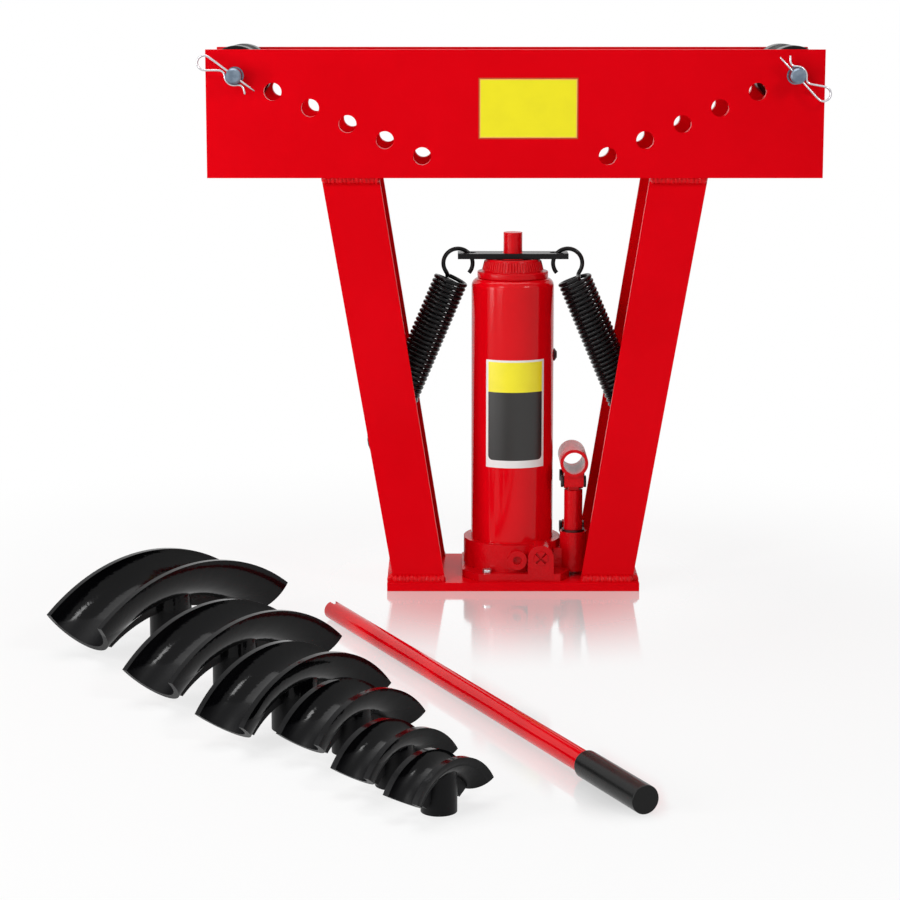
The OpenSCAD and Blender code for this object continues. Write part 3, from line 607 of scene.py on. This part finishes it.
EDGE_RADII: Dict[str, float] = {
    "base_plate": 0.9, "front_plate": 0.9, "back_plate": 0.9, "left_leg": 1.0, "right_leg": 1.0,
    "jack_base": 1.5, "reservoir_tube": 0.6, "ram": 0.9, "spring_bar": 0.7,
    "handle_socket": 0.5, "pump_plunger": 0.6, "fulcrum_link": 0.6,
    "release_valve": 0.5, "filler_plug": 1.6,
    "left_roller": 0.9, "right_roller": 0.9, "left_roller_pin": 0.5, "right_roller_pin": 0.5,
    "plunger_bolt": 0.4, "link_pins": 0.4, "jack_screws": 0.4,
    "left_anchor_bolt": 0.4, "right_anchor_bolt": 0.4, "anchor_nuts": 0.4,
    "pump_handle": 0.5, "handle_grip": 1.2,
    "die_60": 1.2, "die_48": 1.2, "die_42": 1.1, "die_33": 1.0, "die_27": 0.9, "die_21": 0.8,
}


class Palette:
    """The finished materials, made once for each slot, and the slot of each node."""

    def __init__(self) -> None:
        """Reads the nodes' slots and makes all the materials."""
        self.slots = {part["node"]: Slot(part["material_slot"]) for part in frame["record"]["subparts"]}
        self.made = {slot: finish.material() for slot, finish in FINISHES.items()}
        self.others = {look.name: look.material() for look in dict.fromkeys(OTHER_LOOKS.values())}

    def look(self, node: str) -> bpy.types.Material:
        """The material of a CAD node or of the piece that stands for it."""
        if node in OTHER_LOOKS:
            return self.others[OTHER_LOOKS[node].name]
        return self.made[self.slots[node]]

    def dress_nodes(self) -> None:
        """Gives each CAD node its material."""
        for name, obj in frame["nodes"].items():
            for holder in obj.material_slots:
                holder.material = self.look(name)

    def dress(self, obj: bpy.types.Object, node: str) -> None:
        """Gives a new piece the look of the node that it stands for."""
        obj.data.materials.clear()
        obj.data.materials.append(self.look(node))


@dataclass(frozen=True)
class SoftBox:
    """A rectangular lamp that faces the object, in metres and watts."""

    name: str
    place: Tuple[float, float, float]
    size: Span
    power: float
    aim: Tuple[float, float, float] = (0.0, 0.0, 0.25)

    def build(self) -> None:
        """Adds the lamp to the scene."""
        data = bpy.data.lights.new(self.name, "AREA")
        data.shape = "RECTANGLE"
        data.size, data.size_y = self.size
        data.energy = self.power
        obj = bpy.data.objects.new(self.name, data)
        obj.location = self.place
        obj.rotation_euler = (Vector(self.aim) - Vector(self.place)).to_track_quat("-Z", "Y").to_euler()
        bpy.context.scene.collection.objects.link(obj)


LAMPS = (
    SoftBox("left_window", (-1.35, -1.85, 1.75), (0.55, 0.4), 13.0),
    SoftBox("right_window", (1.5, -1.6, 1.75), (0.55, 0.4), 13.5),
    SoftBox("left_strip", (-1.92, -1.07, 0.5), (0.5, 1.2), 18.0),
    SoftBox("middle_strip", (-1.35, -1.75, 0.5), (0.6, 1.2), 7.0),
    SoftBox("top_box", (-0.3, 0.4, 2.6), (2.4, 1.8), 36.0),
)


@dataclass(frozen=True)
class Studio:
    """Camera, lights and the pale floor."""

    eye: Tuple[float, float, float] = (-58.5, -2200.0, 545.0)
    pitch: float = 9.0
    lens: float = 95.011
    shift: float = -0.0869
    sensor: float = 36.0
    sight: float = 100.0
    floor_half: float = 30.0
    surround: float = 0.12

    def camera(self) -> None:
        """Places the camera at the photograph's angle."""
        data = bpy.data.cameras.new("camera")
        data.lens = self.lens
        data.sensor_width = self.sensor
        data.sensor_fit = "HORIZONTAL"
        data.shift_y = self.shift
        data.clip_end = self.sight
        obj = bpy.data.objects.new("camera", data)
        obj.location = Vector(self.eye) * MM
        obj.rotation_euler = (math.radians(90.0 - self.pitch), 0.0, 0.0)
        bpy.context.scene.collection.objects.link(obj)
        bpy.context.scene.camera = obj

    def floor(self) -> None:
        """Lays the floor, which isn't part of the object."""
        shape = bmesh.new()
        bmesh.ops.create_grid(shape, x_segments=1, y_segments=1, size=self.floor_half)
        obj = new_piece("studio_floor", shape)
        obj.data.materials.append(Sheen().material())

    def world(self) -> None:
        """Sets a surround that is white to look at and lights the object more dimly."""
        graph = Graph(bpy.data.worlds.new("studio"))
        dim = graph.add("ShaderNodeBackground", None, {"Color": WHITE, "Strength": self.surround})
        plain = graph.add("ShaderNodeBackground", None, {"Color": WHITE, "Strength": 1.0})
        mixed = graph.add("ShaderNodeMixShader", None, {0: graph.watched(), 1: dim, 2: plain})
        bpy.context.scene.world = graph.finish(mixed, "ShaderNodeOutputWorld")

    def build(self) -> None:
        """Sets up the whole studio."""
        bpy.context.scene.view_settings.view_transform = "Standard"
        self.camera()
        self.floor()
        self.world()
        for lamp in LAMPS:
            lamp.build()


def new_piece(name: str, shape: bmesh.types.BMesh) -> bpy.types.Object:
    """Makes an object of a finished bmesh.

    Args:
        name: the piece's name.
        shape: its bmesh, which is freed.
    Returns:
        The object, at the origin.
    """
    mesh = bpy.data.meshes.new(name)
    shape.to_mesh(mesh)
    shape.free()
    obj = bpy.data.objects.new(name, mesh)
    bpy.context.scene.collection.objects.link(obj)
    return obj


def smooth(obj: bpy.types.Object, angle: float = SMOOTH_ANGLE) -> None:
    """Shades a piece smooth up to an angle between its faces, in degrees."""
    for polygon in obj.data.polygons:
        polygon.use_smooth = True
    obj.data.set_sharp_from_angle(angle=math.radians(angle))


class Sweep:
    """A ring of vertices that is extruded from point to point along a line."""

    def __init__(self, points: Sequence[Vector], sides: int) -> None:
        """Keeps the line, in metres, and the number of the ring's sides."""
        self.points = [Vector(p) for p in points]
        self.sides = sides

    def _way(self, index: int) -> Vector:
        """The line's direction at a point."""
        last = len(self.points) - 1
        return (self.points[min(index + 1, last)] - self.points[max(index - 1, 0)]).normalized()

    def _frames(self) -> List[Matrix]:
        """A frame at each point, carried along so that it doesn't twist."""
        frames = []
        side = self._way(0).orthogonal().normalized()
        for index, point in enumerate(self.points):
            way = self._way(index)
            side = (side - way * side.dot(way)).normalized()
            turn = Matrix((side, way.cross(side), way)).transposed().to_4x4()
            frames.append(Matrix.Translation(point) @ turn)
        return frames

    def add_to(self, shape: bmesh.types.BMesh, radii: Sequence[float]) -> None:
        """Adds the swept tube to a bmesh.

        Args:
            shape: the bmesh.
            radii: the tube's radius at each point, in metres.
        """
        frames = self._frames()
        made = bmesh.ops.create_circle(
            shape, cap_ends=True, segments=self.sides, radius=1.0,
            matrix=frames[0] @ Matrix.Scale(radii[0], 4),
        )
        ring = made["verts"]
        edges = [e for e in shape.edges if all(v in set(ring) for v in e.verts)]
        current = frames[0] @ Matrix.Scale(radii[0], 4)
        for placed, radius in zip(frames[1:], radii[1:]):
            grown = bmesh.ops.extrude_edge_only(shape, edges=edges)["geom"]
            ring = [g for g in grown if isinstance(g, bmesh.types.BMVert)]
            known = set(ring)
            edges = [
                g for g in grown
                if isinstance(g, bmesh.types.BMEdge) and all(v in known for v in g.verts)
            ]
            target = placed @ Matrix.Scale(radius, 4)
            bmesh.ops.transform(shape, matrix=target @ current.inverted(), verts=ring)
            current = target
        bmesh.ops.edgeloop_fill(shape, edges=edges)


def finished(shape: bmesh.types.BMesh) -> bmesh.types.BMesh:
    """Turns all faces outwards and gives the same bmesh back."""
    bmesh.ops.recalc_face_normals(shape, faces=shape.faces[:])
    return shape


@dataclass(frozen=True)
class Springs:
    """The two return springs, with their hooks, as smooth wire."""

    anchor: Span = (121.9964, 131.6849)
    hook: Span = (51.05, 299.0)
    wire_r: float = 2.0
    coil_r: float = 14.3
    hook_r: float = 13.6
    turns: float = 32.75
    hook_rise: float = 15.5
    loop_rise: float = 16.0
    loop_seat: float = 7.0
    hook_start: float = 235.0
    loop_start: float = 205.0
    hook_end: float = -18.0
    loop_end: float = -24.0
    lead: float = 9.0
    curl_rings: int = 24
    hook_rings: int = 40
    lead_rings: int = 12
    sides: int = 10

    def _hook(self, radius: float, rise: float, first: float, last: float) -> List[Vector]:
        """Points of a hook, in a frame whose third axis leaves the coil.

        Args:
            radius: the hook's radius.
            rise: its middle's height over the coil's end.
            first: the angle where it starts, in degrees.
            last: the angle at its tip.
        Returns:
            The points, from the coil to the tip.
        """
        start = math.radians(first)
        a = Vector((0.0, self.coil_r, 0.0))
        b = a + Vector((-self.lead, 0.0, 0.0))
        d = Vector((radius * math.cos(start), 0.0, rise + radius * math.sin(start)))
        c = d - self.lead * Vector((math.sin(start), 0.0, -math.cos(start)))
        points = []
        for i in range(1, self.lead_rings):
            t = i / self.lead_rings
            s = 1.0 - t
            points.append(a * s**3 + b * (3 * s * s * t) + c * (3 * s * t * t) + d * t**3)
        for i in range(self.hook_rings + 1):
            angle = start + (math.radians(last) - start) * i / self.hook_rings
            points.append(Vector((radius * math.cos(angle), 0.0, rise + radius * math.sin(angle))))
        return points

    def line(self) -> List[Vector]:
        """Middle line of the right spring's wire, in millimetres, from its lower loop up."""
        anchor = Vector((self.anchor[0], 0.0, self.anchor[1]))
        head_mid = Vector((self.hook[0], 0.0, self.hook[1]))
        up = (head_mid - anchor).normalized()
        side = Vector((up.z, 0.0, -up.x))
        back = Vector((0.0, 1.0, 0.0))
        foot = anchor + up * (self.loop_rise + self.coil_r - self.loop_seat)
        head = head_mid - up * self.hook_rise
        rings = round(self.turns * self.curl_rings)
        low = [
            foot + back * p.x + side * p.y - up * p.z
            for p in self._hook(self.coil_r, self.loop_rise, self.loop_start, self.loop_end)
        ]
        coil = []
        for i in range(rings + 1):
            angle = 2.0 * math.pi * i / self.curl_rings
            reach = side * math.cos(angle) + back * math.sin(angle)
            coil.append(foot.lerp(head, i / rings) + reach * self.coil_r)
        high = [
            head - side * p.x - back * p.y + up * p.z
            for p in self._hook(self.hook_r, self.hook_rise, self.hook_start, self.hook_end)
        ]
        return low[::-1] + coil + high

    def build(self, palette: Palette) -> None:
        """Makes both springs, running from their anchors on the frame up to their hooks at the ram."""
        for side in Side:
            turn = Matrix.Rotation(0.0 if side is Side.RIGHT else math.pi, 4, "Z")
            points = [turn @ (p * MM) for p in self.line()]
            shape = bmesh.new()
            Sweep(points, self.sides).add_to(shape, [self.wire_r * MM] * len(points))
            obj = new_piece(f"{side.word}_spring_wire", finished(shape))
            smooth(obj, WIRE_ANGLE)
            palette.dress(obj, f"{side.word}_spring")
            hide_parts(f"{side.word}_spring")
            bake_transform(obj)
            log.info("%s: %d faces", obj.name, len(obj.data.polygons))


def body_of(node: str) -> str:
    """The name of the body that carries a node."""
    bodies = frame["record"]["behaviour"]["bodies"]
    return next(name for name, nodes in bodies.items() if node in nodes)


def merged_copy(node: str) -> bmesh.types.BMesh:
    """A CAD node's mesh with its triangles joined and its flat faces whole."""
    shape = bmesh.new()
    shape.from_mesh(frame["nodes"][node].data)
    bmesh.ops.remove_doubles(shape, verts=shape.verts[:], dist=MERGE)
    bmesh.ops.dissolve_limit(
        shape, angle_limit=math.radians(FLAT_ANGLE), verts=shape.verts[:], edges=shape.edges[:]
    )
    return finished(shape)


def stand_for(obj: bpy.types.Object, node: str, palette: Palette) -> None:
    """Lets a piece stand for a node, with its look and on its body."""
    palette.dress(obj, node)
    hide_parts(node)
    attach(obj, body_of(node))
    log.info("%s: %d faces", obj.name, len(obj.data.polygons))


def round_edges(shape: bmesh.types.BMesh, radius: float) -> None:
    """Rounds the sharp edges of a shape by a radius in millimetres."""
    limit = math.radians(SHARP_ANGLE)
    sharp = [e for e in shape.edges if len(e.link_faces) == 2 and e.calc_face_angle(0.0) > limit]
    bmesh.ops.bevel(
        shape, geom=sharp, offset=radius * MM, offset_type="OFFSET", segments=BEVEL_STEPS,
        profile=ROUND_PROFILE, affect="EDGES", clamp_overlap=True, material=-1,
    )


@dataclass(frozen=True)
class RoundedNode:
    """A copy of a CAD node with its edges rounded, as tools and paint leave them."""

    node: str
    radius: float

    def build(self, palette: Palette) -> None:
        """Makes the copy and lets it stand for the node."""
        shape = merged_copy(self.node)
        round_edges(shape, self.radius)
        obj = new_piece(f"{self.node}_rounded", shape)
        smooth(obj)
        weights = obj.modifiers.new("weights", "WEIGHTED_NORMAL")
        weights.keep_sharp = True
        stand_for(obj, self.node, palette)


@dataclass(frozen=True)
class TopNut:
    """The jack's nut, with upright ribs round its grip."""

    ribs: int = 64
    rib_r: float = 0.85
    rib_sides: int = 8
    grip_r: float = 26.8
    lean: float = 14.7
    low: float = 293.0
    high: float = 301.6
    radius: float = 1.0
    smooth_angle: float = 50.0

    def build(self, palette: Palette) -> None:
        """Makes the nut and lets it stand for the CAD's."""
        shape = merged_copy("top_nut")
        round_edges(shape, self.radius)
        place = Matrix.Translation((self.grip_r * MM, 0.0, (self.low + self.high) / 2 * MM))
        place = place @ Matrix.Rotation(-math.radians(self.lean), 4, "Y")
        for index in range(self.ribs):
            turn = Matrix.Rotation(2.0 * math.pi * index / self.ribs, 4, "Z")
            bmesh.ops.create_cone(
                shape, cap_ends=True, segments=self.rib_sides, radius1=self.rib_r * MM,
                radius2=self.rib_r * MM, depth=(self.high - self.low) * MM, matrix=turn @ place,
            )
        obj = new_piece("top_nut_ribbed", shape)
        smooth(obj, self.smooth_angle)
        stand_for(obj, "top_nut", palette)


@dataclass(frozen=True)
class Clips:
    """The two hairpin clips, as smooth round wire."""

    levels: int = 1

    def build(self, palette: Palette) -> None:
        """Makes both clips."""
        for side in Side:
            node = f"{side.word}_clip"
            shape = bmesh.new()
            shape.from_mesh(frame["nodes"][node].data)
            bmesh.ops.remove_doubles(shape, verts=shape.verts[:], dist=MERGE)
            obj = new_piece(f"{node}_wire", finished(shape))
            smooth(obj, WIRE_ANGLE)
            rounder = obj.modifiers.new("rounder", "SUBSURF")
            rounder.levels = rounder.render_levels = self.levels
            stand_for(obj, node, palette)


@dataclass(frozen=True)
class WeldBeads:
    """Rippled beads at the feet of the legs and under the plates."""

    foot_x: Span = (63.0, 111.0)
    top_x: Span = (122.6, 174.2)
    face_y: float = 50.0
    floor_z: float = 8.0
    plate_z: float = 382.4
    inset: float = 0.9
    bead_r: float = 4.7
    ripple: float = 0.35
    pitch: float = 3.6
    step: float = 0.6
    jitter: float = 0.15
    end_share: float = 0.55
    growth: float = 0.15
    sides: int = 16
    seed: int = 7
    smooth_angle: float = 70.0

    def _runs(self) -> List[Tuple[Vector, Vector]]:
        """The ends of each bead on the right, in millimetres."""
        runs = []
        for sign in (-1.0, 1.0):
            y = sign * (self.face_y + self.inset)
            foot_z, top_z = self.floor_z + self.inset, self.plate_z - self.inset
            runs.append((Vector((self.foot_x[0], y, foot_z)), Vector((self.foot_x[1], y, foot_z))))
            runs.append((Vector((self.top_x[0], y, top_z)), Vector((self.top_x[1], y, top_z))))
        x = self.foot_x[1] + self.inset
        low = Vector((x, -self.face_y, self.floor_z + self.inset))
        runs.append((low, Vector((x, self.face_y, low.z))))
        return runs

    def _bead(self, shape: bmesh.types.BMesh, start: Vector, end: Vector, chance: random.Random) -> None:
        """Adds one bead.

        Args:
            shape: the bmesh that it goes into.
            start: its first end, in millimetres.
            end: its other end.
            chance: gives the small unevenness.
        """
        count = round((end - start).length / self.step)
        points, radii = [], []
        for index in range(count + 1):
            shift = Vector([chance.uniform(-self.jitter, self.jitter) for _ in range(3)])
            points.append((start.lerp(end, index / count) + shift) * MM)
            wave = abs(math.sin(math.pi * index * self.step / self.pitch))
            taper = min(1.0, self.end_share + self.growth * min(index, count - index))
            radii.append((self.bead_r + self.ripple * (2.0 * wave - 1.0)) * taper * MM)
        Sweep(points, self.sides).add_to(shape, radii)

    def build(self, palette: Palette) -> None:
        """Makes all the beads as one piece."""
        chance = random.Random(self.seed)
        mirror = Vector((-1.0, 1.0, 1.0))
        shape = bmesh.new()
        for start, end in self._runs():
            self._bead(shape, start, end, chance)
            self._bead(shape, start * mirror, end * mirror, chance)
        obj = new_piece("weld_beads_rippled", finished(shape))
        smooth(obj, self.smooth_angle)
        stand_for(obj, "weld_beads", palette)


def main() -> None:
    """Builds the scene, piece by piece."""
    logging.basicConfig(level=logging.INFO, format="%(message)s")
    palette = Palette()
    palette.dress_nodes()
    Studio().build()
    for node, radius in EDGE_RADII.items():
        RoundedNode(node, radius).build(palette)
    TopNut().build(palette)
    Clips().build(palette)
    WeldBeads().build(palette)
    Springs().build(palette)


if __name__ == "__main__":
    main()
